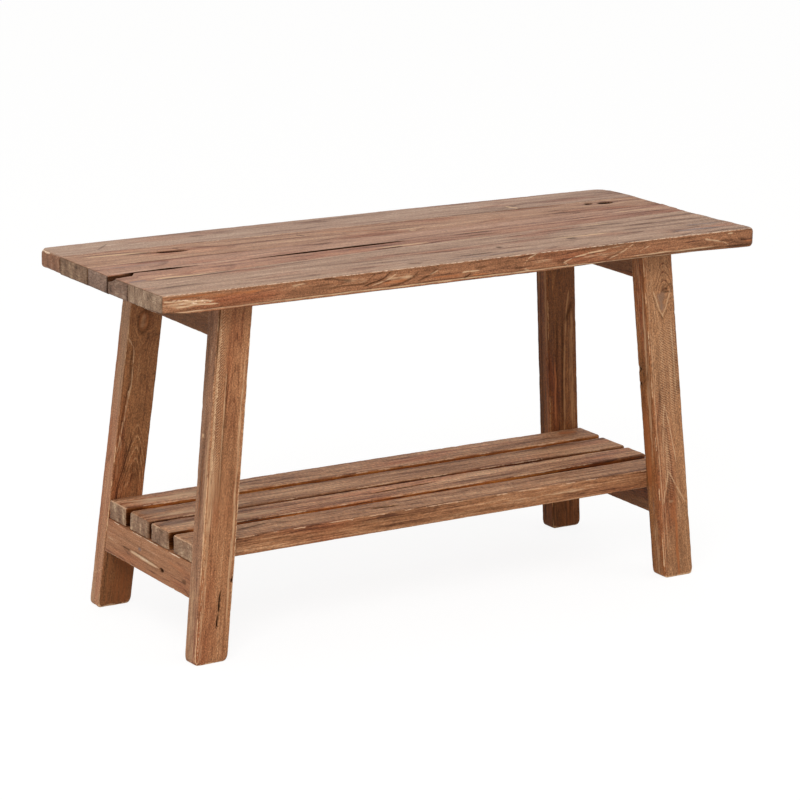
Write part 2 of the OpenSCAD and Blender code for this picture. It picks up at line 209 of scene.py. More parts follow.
class Wood:
    """One piece of wood while it is being shaped."""

    def __init__(self, size, edge, steps, faces):
        self.size = np.array(size, float)
        self.points, self.quads = block(size, edge, steps)
        self.faces = faces

    def round_off(self, end_r, edge_r, seed, wear, turn=(0.0, 1.0)):
        """Rounds the piece. end_r holds the radius at either end, and edge_r is that of the long edges,
        one for all or one for each point. wear is how unevenly the long edges are worn, and turn is how
        much of the end's radius its corners take across and through."""
        along, across, through = self.points.T
        lane = np.sign(across) + 3 * np.sign(through)
        worn = np.abs(noise_along(along, 21, seed, lane))
        worn = worn + 0.7 * np.abs(noise_along(along, 6, seed + 1, lane))
        base = edge_r * (1 + wear * (worn - 0.5))
        chips = smooth(0.45, 0.9, noise_along(along, 11, seed + 2, lane)) * wear
        base = base * (1 + 1.2 * chips)
        half_l = self.size[0] / 2
        end_r = np.where(along < 0, *end_r)
        near_end = smooth(1.6 * end_r, 0.6 * end_r, half_l - np.abs(along))
        ends = end_r * (1 + 0.5 * wear * noise(self.points / 9, seed + 3))
        across_r, through_r = (base + (ends - base) * near_end * part for part in turn)
        radii = np.stack([ends, across_r, through_r], 1)
        self.points, self.normals, self.arris = rounded(self.points, self.size, radii)
        self.grain = self.points.copy()
        self.channels = {kind: np.zeros(len(self.points)) for kind in CHANNELS}
        self.sunk = np.zeros(len(self.points))
        # Pale wear along the arrises, partly real wear and partly painted highlight
        self.wear = self.arris * smooth(-0.5, 0.3, noise_along(along, 17, seed + 4, lane))

    def share(self, face):
        """How squarely each point faces the same way as the named face."""
        axis, side = self.faces[face]
        return np.clip(self.normals[:, axis] * side, 0, 1) ** 2

    def mark(self, marks, along, across, through, seed):
        """Adds marks. along, across and through are the coordinates that the marks' numbers refer to."""
        for i, (face, kind, *row) in enumerate(marks):
            place = across if self.faces[face][0] == 2 else through
            if kind == "knot":
                self.knot(self.share(face), along, place, face, *row)
                continue
            if kind == "figure":
                self.figure(self.share(face), along, place, seed + i, *row)
                continue
            amount = row.pop()
            share = self.share(face) * band(along, place, row, seed + i)
            if kind == "crack":
                self.sunk += amount * share
                self.tint("dark", smooth(0.1, 0.6, share))
            elif kind == "hollow":
                self.sunk += amount * smooth(0.1, 0.5, share)
            elif kind == "wear":
                self.wear = np.maximum(self.wear, amount * share)
            else:
                self.tint(kind, amount * share)

    def figure(self, share, along, place, seed, tip_l, tip_c, reach, half_w, pitch, amount, blunt=1.6):
        """Nested curves that open away from their tip."""
        ahead = (along - tip_l) * np.sign(reach)
        shake = 0.07 * pitch * noise_along(along, 19, seed) + 0.4 * noise_along(place, 5, seed + 1)
        level = ahead - abs(reach) * (np.abs(place - tip_c + shake) / half_w) ** blunt
        strength = share * amount * smooth(-pitch, 0, level)
        strength = strength * smooth(1.1 * abs(reach), 0.6 * abs(reach), level)
        here = np.abs(strength) > np.abs(self.channels["figure"])
        self.channels["phase"] = np.where(here, level / pitch, self.channels["phase"])
        self.channels["figure"] = np.where(here, strength, self.channels["figure"])

    def knot(self, share, along, place, face, middle_l, middle_c, half_l, half_w, depth):
        """Bends the grain round a knot and darkens its rim."""
        dl, dc = along - middle_l, place - middle_c
        near = np.exp(-((dl / (2.2 * half_l)) ** 2) - (dc / (2.6 * half_w)) ** 2)
        column = 1 if self.faces[face][0] == 2 else 2
        self.grain[:, column] -= share * dc * 0.85 * near
        r = np.hypot(dl / half_l, dc / half_w)
        rim = np.exp(-(((r - 1) / 0.28) ** 2)) + 0.8 * np.exp(-((r / 0.3) ** 2))
        self.tint("dark", 0.45 * share * rim)
        self.tint("warm", 0.5 * share * smooth(1.3, 0.8, r))
        self.sunk += depth * share * np.exp(-(r**4))
        if depth > 2:
            self.tint("dark", 1.1 * share ** 0.2 * smooth(1.55, 1.1, r))

    def tint(self, kind, amount):
        self.channels[kind] = np.maximum(self.channels[kind], amount)

    def press(self, seed, swell=0.25, ripple=0.12):
        """Moves the surface in and out: a slow swell, fine ripples along the grain, and what has sunk."""
        along, across, through = self.points.T
        slow = noise(self.points / np.array([90, 30, 30]), seed + 10)
        fine = noise(np.stack([along / 45, across / 2.6, through / 2.6], 1), seed + 11)
        offset = swell * slow + ripple * fine - self.sunk
        self.points = self.points + self.normals * offset[:, None]

    def finish(self, name, placed, material, slot):
        """Makes the mesh that stands for the CAD node of this name. placed is where its points go."""
        mesh = bpy.data.meshes.new(name)
        mesh.vertices.add(len(placed))
        mesh.vertices.foreach_set("co", (placed / 1000).ravel())
        mesh.loops.add(self.quads.size)
        mesh.loops.foreach_set("vertex_index", self.quads.ravel())
        mesh.polygons.add(len(self.quads))
        mesh.polygons.foreach_set("loop_start", np.arange(0, self.quads.size, 4))
        mesh.update(calc_edges=True)
        mesh.shade_smooth()
        c = self.channels
        for title, columns in {
            "grain": self.grain.T,
            "marks": (c["warm"], c["grey"], c["pale"]),
            "state": (self.wear, c["dark"], c["hatch"]),
            "figure": (c["second"], c["phase"], c["figure"]),
            "ends": (c["ends"], c["ends"], c["ends"]),
        }.items():
            layer = mesh.attributes.new(title, "FLOAT_VECTOR", "POINT")
            layer.data.foreach_set("vector", np.stack(columns, 1).astype(np.float32).ravel())
        mesh.materials.append(material)
        piece = add_object(name + "_wood", mesh)
        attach(piece, "root")
        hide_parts(name)


# Materials


def srgb(text):
    """Linear colour of a hex colour."""
    parts = [int(text[i : i + 2], 16) / 255 for i in (0, 2, 4)]
    return [c / 12.92 if c <= 0.04045 else ((c + 0.055) / 1.055) ** 2.4 for c in parts] + [1]


WHITE = (1, 1, 1, 1)


class Nodes:
    """Short calls that build the node tree of a material or a world."""

    def __init__(self, owner):
        owner.use_nodes = True
        self.owner = owner
        self.tree = owner.node_tree
        self.tree.nodes.clear()

    def add(self, kind, inputs, output=0, **settings):
        made = self.tree.nodes.new("ShaderNode" + kind)
        for key, value in settings.items():
            setattr(made, key, value)
        for key, value in inputs.items():
            if isinstance(value, bpy.types.NodeSocket):
                self.tree.links.new(value, made.inputs[key])
            else:
                made.inputs[key].default_value = value
        return made.outputs[output] if made.outputs else None

    def math(self, operation, a, b=0.0, c=0.0, clamp=False):
        return self.add("Math", {0: a, 1: b, 2: c}, operation=operation, use_clamp=clamp)

    def times(self, a, b, plus=None, clamp=False):
        """a times b, and plus a third value where there is one."""
        if plus is None:
            return self.math("MULTIPLY", a, b, clamp=clamp)
        return self.math("MULTIPLY_ADD", a, b, plus, clamp)

    def minus(self, a, b):
        return self.math("SUBTRACT", a, b)

    def vector(self, operation, a, b):
        return self.add("VectorMath", {0: a, 1: b}, operation=operation)

    def split(self, vector):
        made = self.tree.nodes.new("ShaderNodeSeparateXYZ")
        self.tree.links.new(vector, made.inputs[0])
        return tuple(made.outputs)

    def held(self, name):
        """The three numbers that the mesh holds under a name."""
        return self.split(self.add("Attribute", {}, 1, attribute_name=name))

    def seen(self):
        """1 for what the camera sees, directly or mirrored, and 0 for what lights the scene."""
        rays = self.tree.nodes.new("ShaderNodeLightPath").outputs
        mirrored = self.math("MAXIMUM", rays["Is Glossy Ray"], rays["Is Transmission Ray"])
        return self.math("MAXIMUM", rays["Is Camera Ray"], mirrored)

    def noise(self, place, scale, detail=2.0, roughness=0.5, output=0):
        place = self.vector("MULTIPLY", place, scale)
        inputs = {"Vector": place, "Scale": 1.0, "Detail": detail, "Roughness": roughness}
        return self.add("TexNoise", inputs, output)

    def step(self, value, low, high, to_low=0.0, to_high=1.0):
        inputs = {"Value": value, "From Min": low, "From Max": high, "To Min": to_low, "To Max": to_high}
        return self.add("MapRange", inputs, interpolation_type="SMOOTHSTEP")

    def mix(self, factor, a, b, blend="MIX"):
        inputs = {0: factor, 6: a, 7: b}
        return self.add("Mix", inputs, 2, data_type="RGBA", blend_type=blend, clamp_factor=True)

    def finish(self, colour, roughness, height=None, bump_mm=0.4, specular=0.3, metallic=0.0):
        inputs = {
            "Base Color": colour, "Roughness": roughness,
            "Metallic": metallic, "Specular IOR Level": specular,
        }
        if height is not None:
            bump = {"Height": height, "Strength": 1.0, "Distance": bump_mm / 1000}
            inputs["Normal"] = self.add("Bump", bump)
        shader = self.add("BsdfPrincipled", inputs)
        self.add("OutputMaterial", {"Surface": shader})
        return self.owner


# What a wood has unless a piece changes it. Each piece adds its seed and its first and second tones:
# three colours from dark to light for its main faces and for its other faces. ends holds those of its
# end grain, pith is how far off the growth rings' middle lies, and slope how it runs off along.
TONES = {
    "ends": ("483224", "7c614d", "aa8e74"),
    # worn is the pale of worn arrises, partly real wear and partly painted highlight, and also the painted
    # highlight on saw marks
    "warm": "b0683a", "grey": "82706a", "pale": "d9b48e", "worn": "e8cfb4",
    "ring": 4.2, "pith": (25, 60), "slope": (0.02, 0.05), "ring_amount": 0.2,
    "slant": 0.6, "teeth": 3.3,
    "streak_amount": 0.32, "mottle_amount": 0.2, "fibre_amount": 0.36,
    "grit": 1.0, "speckle": (0.5, 0.8, 0.8), "rough_side": 0.0, "side_streak": 1.0, "painted_shade_slope": 0.0,
}
# The darkest colour of cracks, knot rims and dark lines, also used for painted shade
DARK_MARK_AND_SHADE, RED_PATCH = "1c0902", "e8a888"


def wood_material(name, **changes):
    """Teak: growth rings round a slanting pith, long streaks, fine fibres, pores and flecks, and the
    marks that the mesh carries. All scales are per millimetre of the piece's own grain coordinates."""
    look = TONES | changes
    n = Nodes(bpy.data.materials.new(name))
    grain = n.add("Attribute", {}, 1, attribute_name="grain")
    warm, grey, pale = n.held("marks")
    wear, dark, hatch = n.held("state")
    second, level, figure = n.held("figure")
    ends = n.held("ends")[0]
    shifted = n.vector("ADD", grain, [look["seed"] * stride for stride in (613.0, 97.0, 41.0)])

    # Rings round the pith, bent by a slow wobble, and the nested curves of the mesh's own figure
    wobble = n.noise(shifted, (0.009, 0.035, 0.035), 2.0, output=1)
    wobble = n.vector("MULTIPLY", n.vector("SUBTRACT", wobble, (0.5, 0.5, 0.5)), (0, 16, 16))
    along, across, through = n.split(n.vector("ADD", grain, wobble))
    (pith_c, pith_d), (slope_c, slope_d) = look["pith"], look["slope"]
    off_c = n.minus(n.minus(across, pith_c), n.times(along, slope_c))
    off_d = n.minus(n.minus(through, pith_d), n.times(along, slope_d))
    radius = n.math("SQRT", n.math("ADD", n.times(off_c, off_c), n.times(off_d, off_d)))

    def late_wood(turns):
        share = n.math("FRACT", turns)
        return n.times(n.step(share, 0.5, 0.92), n.step(share, 1.0, 0.93))

    late = late_wood(n.math("DIVIDE", radius, look["ring"]))
    figured = late_wood(level)

    # Streaks, fibres, pores and flecks
    streak = n.noise(shifted, (0.0045, 0.1, 0.1), 4.0, 0.6)
    mottle = n.noise(shifted, (0.045, 0.34, 0.34), 3.0, 0.65)
    fibre = n.noise(shifted, (0.011, 0.72, 0.72), 3.0, 0.7)
    pore = n.step(n.noise(shifted, (0.12, 2.4, 2.4), 1.0), 0.60, 0.70)
    fleck = n.step(n.noise(shifted, (0.2, 1.3, 1.3), 1.0), 0.60, 0.72)
    patchy = n.noise(shifted, (0.006, 0.03, 0.03), 2.0)
    speckle = n.noise(shifted, look["speckle"], 1.0, 0.7)
    blotch = n.noise(shifted, (0.3, 0.1, 0.05), 3.0, 0.55)

    calm = n.times(second, look["side_streak"] - 1, 1.0)
    streaky = n.times(n.minus(streak, 0.5), calm)
    tone = n.times(streaky, 3.2 * look["streak_amount"], 0.5)
    tone = n.times(n.minus(mottle, 0.5), 3.2 * look["mottle_amount"], tone)
    tone = n.times(n.minus(fibre, 0.5), 3.2 * look["fibre_amount"], tone)
    ring_part = n.times(late, n.step(patchy, 0.35, 0.65, 0.3, 1.0))
    tone = n.times(ring_part, n.times(figure, look["ring_amount"]), tone)
    tone = n.times(ring_part, -look["ring_amount"], tone)
    tone = n.times(n.minus(0.25, figured), n.times(figure, 0.5), tone)
    tone = n.times(fleck, 0.1, n.times(pore, -0.07, tone))
    # Painted shade: the tone falls steadily along the grain, so the top boards grow darker towards their
    # right ends
    tone = n.times(along, look["painted_shade_slope"], tone)
    end_tone = n.times(n.minus(blotch, 0.5), 1.9, 0.55)
    end_tone = n.times(late, -0.16, end_tone)

    def ramp(value, low, mid, high):
        lower = n.mix(n.step(value, -0.05, 0.5), srgb(low), srgb(mid))
        return n.mix(n.step(value, 0.5, 1.05), lower, srgb(high))

    colour = n.mix(second, ramp(tone, *look["first"]), ramp(tone, *look["second"]))
    colour = n.mix(n.step(patchy, 0.5, 0.75, 0.0, 0.55), colour, srgb(RED_PATCH), "MULTIPLY")
    colour = n.mix(ends, colour, ramp(end_tone, *look["ends"]))
    grit = n.times(look["grit"], n.times(second, look["rough_side"], 1.0))
    grit = n.times(n.minus(speckle, 0.5), grit, 1.0)
    colour = n.vector("MULTIPLY", colour, grit)

    # Marks from the mesh, broken up by the grain
    broken = n.times(n.minus(n.math("ADD", fibre, mottle), 1.0), 1.1)
    for amount, tint in ((grey, "grey"), (warm, "warm"), (pale, "pale")):
        share = n.step(n.math("ADD", amount, broken), 0.3, 0.95, 0.0, 0.85)
        share = n.times(share, n.times(amount, 2.0, clamp=True))
        colour = n.mix(share, colour, srgb(look[tint]))
    # Saw marks: slanting stripes where the hatch is, painted highlights in the worn colour and painted
    # shade in the darkest tone; they also raise the bump
    slant = n.times(across, look["slant"], along)
    slant = n.times(mottle, 5.0, slant)
    teeth = n.math("SINE", n.times(slant, 2 * math.pi / look["teeth"]))
    teeth = n.times(teeth, n.times(hatch, n.step(fibre, 0.35, 0.55, 0.2, 1.0)))
    colour = n.mix(n.times(teeth, 0.8, clamp=True), colour, srgb(look["worn"]))
    colour = n.mix(n.times(teeth, -0.6, clamp=True), colour, srgb(look["first"][0]))
    # Pale beads in the worn colour where the mesh's wear is: worn arrises, partly painted highlight
    beads = n.noise(shifted, (0.25, 0.5, 0.5), 2.0)
    worn = n.step(n.times(n.minus(beads, 0.5), 1.4, wear), 0.45, 0.72, 0.0, 0.95)
    colour = n.mix(worn, colour, srgb(look["worn"]))
    # The dark channel: cracks, knot rims and dark lines, and painted shade in gaps, the open joint and on
    # downward arrises
    colour = n.mix(n.times(dark, 0.95), colour, srgb(DARK_MARK_AND_SHADE))

    roughness = n.times(fibre, 0.25, 0.5)
    height = n.times(fibre, 0.6, n.times(mottle, 0.5, n.times(late, -0.2)))
    height = n.times(pore, -0.35, n.times(teeth, 0.35, height))
    return n.finish(colour, roughness, height, 0.5, n.times(dark, -0.2, 0.2, clamp=True))


# Top: five boards, with open joints, a chip and knot holes. Marks give x and y, or x and z.

# The faces that have marks: the direction that each crosses, and its side
BOARD_FACES = {"top": (2, 1), "front": (1, -1)}
BACK_BOARD, FRONT_BOARD = 0, 4


def joints_at(x):
    """y of the top's joints at one of its ends, as the CAD has them, between its back and front edge."""
    inner = [level_face(board, 0, x) for board in BOARDS[1:4]]
    return [top_high[1], inner[0][1][1]] + [low[1] for low, _ in inner] + [top_low[1]]


cad_joints = list(zip(joints_at(top_low[0]), joints_at(top_high[0])))
# How far each joint is out of the CAD's at the left end, at the right end, and in the middle
joint_off = [(-6.5, -1.5, 4.5), (0, 0, -2), (0, 0, -2.5), (0, 5, -2.5), (0, 9, 3), (0, 0, 0)]


def joint(i, x):
    """y of joint i at x, where 0 is the back edge and 5 the front edge."""
    t = (x - top_low[0]) / top_l
    left, right = (cad + off for cad, off in zip(cad_joints[i], joint_off[i]))
    return left + (right - left) * t + joint_off[i][2] * 4 * t * (1 - t)


# How far each board's end stands out past the CAD end, at its back and front edge
left_out = [(2.4, 2.5), (2, 1.5), (1, 1.5), (1, 0.5), (0, -2)]
right_out = [(-1, 1.5), (1.5, 3), (3, 2.5), (1.5, 0), (0, 12)]
# Plan corners of the outer boards: board, end, side across, radius
plan_corners = [
    (BACK_BOARD, -1, 1, 10), (BACK_BOARD, 1, 1, 24),
    (FRONT_BOARD, -1, -1, 4), (FRONT_BOARD, 1, -1, 10),
]
# Radius of each board's arrises at its left and right ends
end_radii = [(4.5, 5.0), (2.4, 5.0), (2.4, 5.0), (2.4, 5.0), (2.4, 6.5)]

OPEN_JOINT = 3
SPLIT_DEPTH = 14
# Open stretches: start and end, half opening
open_stretches = [(-402, -298, 3.2), (-236, 4, 3.2)]
CHIP = {"start": -384, "width": 17, "depth": 6}


def place_board(points, i):
    """Where a board's own points lie on the bench."""
    along, across, through = points.T.copy()
    half_l, half_w = top_l / 2, board_w[i] / 2
    for board, end, side, r in plan_corners:
        if board == i:
            u = (along * end - (half_l - r)) / r
            v = (across * side - (half_w - r)) / r
            inside = (u > 0) & (v > 0)
            pull = np.maximum(u, v) / np.maximum(np.hypot(u, v), 1e-9)
            along = np.where(inside, end * (half_l - r + u * pull * r), along)
            across = np.where(inside, side * (half_w - r + v * pull * r), across)
    share = across / board_w[i] + 0.5
    left, right = (out[i][1] + (out[i][0] - out[i][1]) * share for out in (left_out, right_out))
    t = along / half_l
    x = along - left * np.clip(-t, 0, 1) ** 3 + right * np.clip(t, 0, 1) ** 3
    back, front = joint(i, x), joint(i + 1, x)
    y = front + (back - front) * share
    # The underside is worn away along the front edge and at the left end
    at_left = smooth(-375, -412, x)
    eased = 0.2 + 1.7 * smooth(100, 200, x) * smooth(420, 330, x)
    raised = np.maximum(eased * smooth(-124, -148, y), 2.4 * at_left)
    raised = raised + at_left * smooth(-120, -150, y)
    lift = 0.25 * math.sin(5 * i)
    z = through + (top_low[2] + top_high[2]) / 2 + lift + raised * smooth(4, -4, through)
    return np.stack([x, y, z], 1)


def open_up(points, i):
    """Draws back the edges of the boards on both sides of the open joint, down to the split's depth.
    Returns the points, how far each is drawn back, its distance from the joint, and the shade that the
    chip throws on the board behind it."""
    x, y, z = points.T.copy()
    side = -1 if i == OPEN_JOINT - 1 else 1
    gap = np.zeros(len(x))
    for start, end, half_w in open_stretches:
        t = (x - start) / (end - start)
        lens = np.clip(4 * t * (1 - t), 0, 1) ** 0.5
        gap = np.maximum(gap, half_w * lens * (0.8 + 0.4 * noise_along(x, 26, 31)) * ((t > 0) & (t < 1)))
    depth = top_high[2] - z
    shade = smooth(CHIP["start"], CHIP["start"] - 10, x) * smooth(0.8, 2.0, depth) * (side == -1)
    gap = gap * smooth(SPLIT_DEPTH, SPLIT_DEPTH - 2, depth)
    if side == 1:
        chip = CHIP["width"] * smooth(CHIP["start"], CHIP["start"] - 14, x)
        chip = chip * (0.85 + 0.15 * smooth(-390, -415, x) + 0.08 * noise_along(x, 5, 32))
        gap = np.maximum(gap, chip * np.clip(1.15 - depth / CHIP["depth"], 0, 1) ** 0.6)
    away = np.abs(y - joint(OPEN_JOINT, x))
    y = y - side * gap * np.clip(1 - away / (3 * gap + 1), 0, 1)
    return np.stack([x, y, z], 1), gap, away, shade


top_marks = marks_of(
    # Cracks and dark lines
    "top", "crack", (-318, -264, 61, 57, 4.4, 2.5), "dark", (-356, -300, 64, 61, 2.4, 0.8),
    (-368, -337, 101, 132, 1.62, 0.675), (-402, -250, -78, -72, 2.16, 0.75),
    (-250, 20, -71, -50, 1.76, 0.45), (-408, -336, -116, -110, 2.03, 0.675),
    (-74, -20, -47, -44, 2.43, 0.75), (-402, -130, 20, 19, 2.03, 0.6), "warm", (-98, 20, 80, 47, 2.2, 0.8),
    "dark", (-20, 60, 49, 47, 2.43, 0.525), (55, 130, -16, -17, 2.7, 0.675), (60, 128, -32, -31, 2.43, 0.6),
    (85, 330, 86, 83, 2.03, 0.525), (255, 300, -47, -53, 2.7, 0.525), (-10, 60, -124, -125, 2.7, 0.525),
    (-283, -274, 75, 69, 2.16, 1), (-110, -100, 73, 67, 2.43, 0.9), (66, 76, -103, -104, 2.97, 1),
    (172, 190, -100, -101, 2.97, 0.75), (-80, -62, -130, -138, 4.05, 0.525),
    (-232, -208, 125, 122, 3.51, 0.525),
    # Grey-violet stains
    "grey", (-425, -295, 10, 6, 13, 0.55), (-420, -388, -68, -72, 6, 0.9), (-130, 30, -112, -122, 14, 0.45),
    (150, 262, 34, 30, 13, 0.4), (310, 402, -124, -126, 7, 0.9), (345, 415, -101, -103, 4, 0.8),
    (-80, 150, -136, -132, 6, 0.6),
    # Reddish and orange streaks
    "warm", (-414, -285, 84, 76, 5, 0.35), (-380, -330, 112, 90, 3, 0.25), (-90, 30, 78, 70, 9, 0.3),
    (50, 240, -6, -12, 4, 0.55), (50, 230, -24, -28, 7, 0.45), (355, 420, -2, -18, 7, 0.5),
    (-30, 30, -30, -40, 4, 0.5), (240, 420, -30, -40, 10, 0.3),
    # Pale streaks
    "pale", (-414, -310, 72, 69, 3.12, 1.04), (-395, -300, -69, -71, 3.12, 1.17),
    (-75, 25, -40, -39, 3.12, 1.04), (140, 262, -90, -94, 4.8, 0.78), (222, 234, 106, 88, 5.4, 1.4),
    (228, 286, -43, -46, 3.6, 0.78), (312, 418, 12, 8, 2.88, 0.78), (-5, 140, -52, -47, 2.88, 0.65),
    (30, 40, 36, 32, 3.6, 1.17), (-415, -60, -86, -80, 8, 0.25),
    # Painted shadow lines beside the front edge's arrises, a painted highlight along its lower arris and
    # painted shade on both arrises at its right end; brushed strokes at its left end, then its figure
    "front", "dark", (-1200, 1200, 447.6, 0.8, 0.35), (-1200, 1200, 430.6, 0.8, 0.4),
    "pale", (-900, 560, 429.3, 0.9, 0.95), "dark", (370, 436, 429.8, 1.7, 0.8),
    (404, 432, 449.4, 448.8, 1.7, 0.6), "pale", (-428, -346, 438.6, 4.6, 0.62),
    path(1, 1.2, (-414, 443), (-400, 441.8), (-389, 442.6), (-378, 440.4), (-352, 438.4)),
    "wear", path(0.8, 0.72, (-404, 443.4), (-390, 443.2), (-381, 441.6), (-370, 440.4), (-358, 440)),
    path(0.8, 0.68, (-396, 438.6), (-384, 439.4), (-372, 437.8), (-350, 437.2)),
    "pale", path(1, 1.1, (-398, 434.6), (-386, 435.4), (-374, 436.2), (-346, 435)),
    "warm", (-424, -340, 446.5, 446, 1.6, 0.8),
    "dark", path(1, 0.45, (-410, 444.4), (-398, 446.6), (-382, 445.6), (-366, 443.4)),
    (-402, -340, 432, 431.6, 2, 0.3), "warm", (-385, -270, 444.6, 444, 3, 0.7),
    "dark", (-360, -270, 433.4, 434, 3.6, 0.24), (-262, -200, 435.4, 436, 5, 0.3),
    "pale", (-252, -226, 444.6, 445, 2.4, 0.65), "dark", (-232, -192, 440, 439, 7, 0.3),
    path(1.1, 0.75, (-206, 448.6), (-196, 447.6), (-184, 445), (-170, 443.4)),
    path(1.1, 0.55, (-200, 435.6), (-182, 438), (-164, 437.2), (-150, 437.6)),
    path(0.9, 0.5, (-196, 436), (-182, 440.6), (-170, 443.6)), "pale", (-188, -140, 441.6, 441, 3.2, 0.55),
    "dark", path(1, 0.55, (-152, 432), (-147, 439), (-140, 445), (-137, 447)),
    path(1.2, 0.9, (-150, 434.4), (-136, 438), (-124, 441), (-117, 446), (-113, 450)),
    "pale", path(1, 0.9, (-140, 434), (-124, 437.6), (-112, 442), (-106, 446)), (-132, -76, 440, 6, 0.55),
    "warm", (-130, -84, 435, 436, 3, 0.8),
    "dark", path(1.2, 0.7, (-77, 450), (-77, 444), (-85, 438), (-99, 433.4), (-116, 431)),
    path(0.9, 0.45, (-66, 447), (-76, 440.6), (-90, 435.4)),
    path(1.1, 0.7, (-48, 450), (-52, 444), (-62, 438), (-76, 433.6)), (-78, -40, 444.6, 446, 4, 0.3),
    "pale", path(1, 0.85, (-60, 439.4), (-50, 442.4), (-43, 446.4)),
    "warm", (-66, -10, 434.5, 434, 2.4, 0.7), "pale", path(1.2, 1, (-14, 437), (-4, 437.8), (10, 437.4)),
    "dark", (2, 22, 440, 440.4, 1.7, 0.55), path(1.2, 0.95, (-12, 430.6), (-7, 431.8), (-2, 434.6)),
    "warm", (-4, 28, 431.8, 431.6, 2, 0.7), "dark", (20, 76, 442, 440, 6, 0.22),
    "pale", path(1.3, 0.85, (92, 449), (81, 445), (73, 437), (76, 432), (82, 430)),
    "dark", (58, 74, 434.4, 433.4, 3.2, 0.4), "pale", (76, 128, 441, 5, 0.5),
    "dark", path(1, 0.5, (84, 447.6), (100, 445), (124, 446)),
    "pale", path(1.3, 0.9, (140, 430), (133, 435), (147, 439.4), (168, 442), (196, 444)),
    path(1, 0.75, (176, 443), (204, 445.6), (228, 448)), "dark", (138, 230, 446.6, 447.4, 1.8, 0.45),
    (121, 136, 436.4, 435.6, 2.8, 0.55), "pale", (140, 236, 436.6, 438, 4.5, 0.52),
    path(1.1, 0.8, (238, 448.4), (229, 443), (216, 437), (202, 433)),
    "dark", path(1, 0.5, (230, 448.6), (222, 442), (208, 436.4), (196, 434)), (234, 260, 446, 445, 3, 0.35),
    "pale", path(0.9, 0.7, (246, 437), (254, 440), (264, 444)), "dark", (190, 440, 430.4, 430.6, 1.6, 0.6),
    "pale", (205, 400, 432, 432.8, 1.1, 0.75), "dark", (296, 338, 447, 446.4, 1.2, 0.5),
    path(1.8, 0.35, (330, 437), (356, 436), (376, 433), (392, 431)),
    "pale", path(1.3, 0.85, (348, 442.4), (358, 440.4), (374, 437)),
    path(1, 0.85, (376, 437.6), (381, 435), (386, 432)), (382, 394, 446.6, 447, 1.3, 1.1),
    "dark", path(1.8, 0.5, (374, 438.4), (392, 436.6), (404, 433.4), (416, 431.4)),
    (401, 415, 438, 435.6, 2.2, 0.6), "warm", (406, 427, 435, 434, 3, 0.8),
    "dark", (419, 440, 440, 14, 0.3),
)
top_knots = marks_of(
    "top", "knot", (356, 69, 9, 4.8, 6), (331, 72.5, 4.5, 3.4, 3), (-70, -134, 8, 4, 0.3),
)
# Each board's colours on its upper face and its ends, from dark to light, and the pith and slope of its
# growth rings
board_looks = [
    (("6c4d3a", "ac8b76", "d1b69e"), ("603e2a", "8c6148", "ad8467"), (10, 70), (0.01, 0.03)),
    (("623a26", "ac8267", "d3ad8e"), ("523b2a", "80624b", "a3866a"), (-8, 62), (-0.02, 0.05)),
    (("633d29", "af856d", "d3ad92"), ("523c31", "836756", "a68b78"), (14, 66), (0.02, 0.04)),
    (("5c3322", "a57860", "cba081"), ("4a3527", "7c5f4d", "a08570"), (0, 74), (0.03, 0.06)),
    (("63422e", "ac8a73", "d3b298"), ("5c4533", "957860", "c0a489"), (-20, 58), (0.04, 0.07)),
]
# Grain of the top boards, with a painted shade that darkens them towards their right ends
TOP_GRAIN = {
    "worn": "efd2b4", "ring": 6.0, "ring_amount": 0.28, "streak_amount": 0.5, "mottle_amount": 0.14,
    "speckle": (0.5, 0.25, 0.8), "grit": 0.9, "rough_side": 0.9, "side_streak": 0.35, "painted_shade_slope": -0.00018,
}
EDGE_TONES = ("552f1b", "9b6847", "c59570")
UPPER_ARRIS_R, LOWER_ARRIS_R, JOINT_ARRIS_R = 1.7, 1.3, 0.45
board_w = [np.mean([joint(i, x) - joint(i + 1, x) for x in (top_low[0], 0, top_high[0])]) for i in range(5)]


